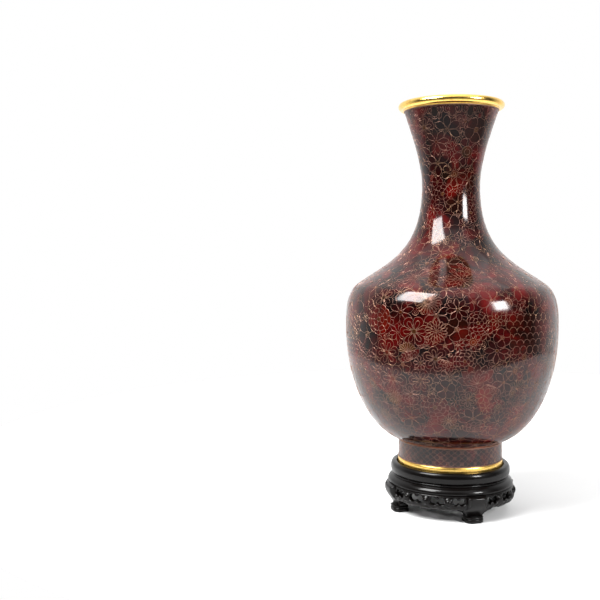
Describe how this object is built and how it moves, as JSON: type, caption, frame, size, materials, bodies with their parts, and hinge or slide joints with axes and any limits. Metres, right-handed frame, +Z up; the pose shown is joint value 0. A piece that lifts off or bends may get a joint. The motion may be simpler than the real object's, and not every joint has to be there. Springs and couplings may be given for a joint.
{
  "type": "cloisonne vase",
  "caption": "Enamelled copper vase with a wired flower pattern, gilt rolled rim and gilt foot band, which lifts out of a round carved black wood stand.",
  "frame": {"origin": "on the floor under the centre of the stand, on the axis of the vase", "axes": "+Z up along the axis of the vase, -Y the front, +X to the right; the stand's legs are on the diagonals"},
  "size_m": [0.2212, 0.2212, 0.428],
  "materials": {
    "gilt": "polished gilding",
    "copper": "raised sheet copper, hidden under enamel",
    "field_enamel": "polished dark red and brown enamel, mottled",
    "plain_enamel": "plain blue-green enamel",
    "black_wood": "black lacquered hardwood, carved"
  },
  "bodies": {
    "stand": {"shoulder_board": "black_wood", "waist_bead": "black_wood", "seat_board": "black_wood", "collar_ring": "black_wood", "leg_dowels": "black_wood", "leg_front_right": "black_wood", "leg_back_right": "black_wood", "leg_back_left": "black_wood", "leg_front_left": "black_wood", "apron_front": "black_wood", "apron_right": "black_wood", "apron_back": "black_wood", "apron_left": "black_wood"},
    "vase": {"foot_band": "gilt", "foot_wall": "copper", "foot_enamel": "field_enamel", "foot_lower_wire": "gilt", "foot_top_wire": "gilt", "bottom_plate": "copper", "base_enamel": "plain_enamel", "belly_shell": "copper", "shoulder_shell": "copper", "neck_shell": "copper", "body_enamel": "field_enamel", "border_enamel": "field_enamel", "rim_wire": "gilt", "lining_enamel": "plain_enamel", "mouth_rim": "gilt"}
  },
  "joints": [
    {"name": "vase_lift", "type": "slide", "parent": "stand", "child": "vase", "axis": [0, 0, 1], "range_m": [0, 0.06]}
  ]
}
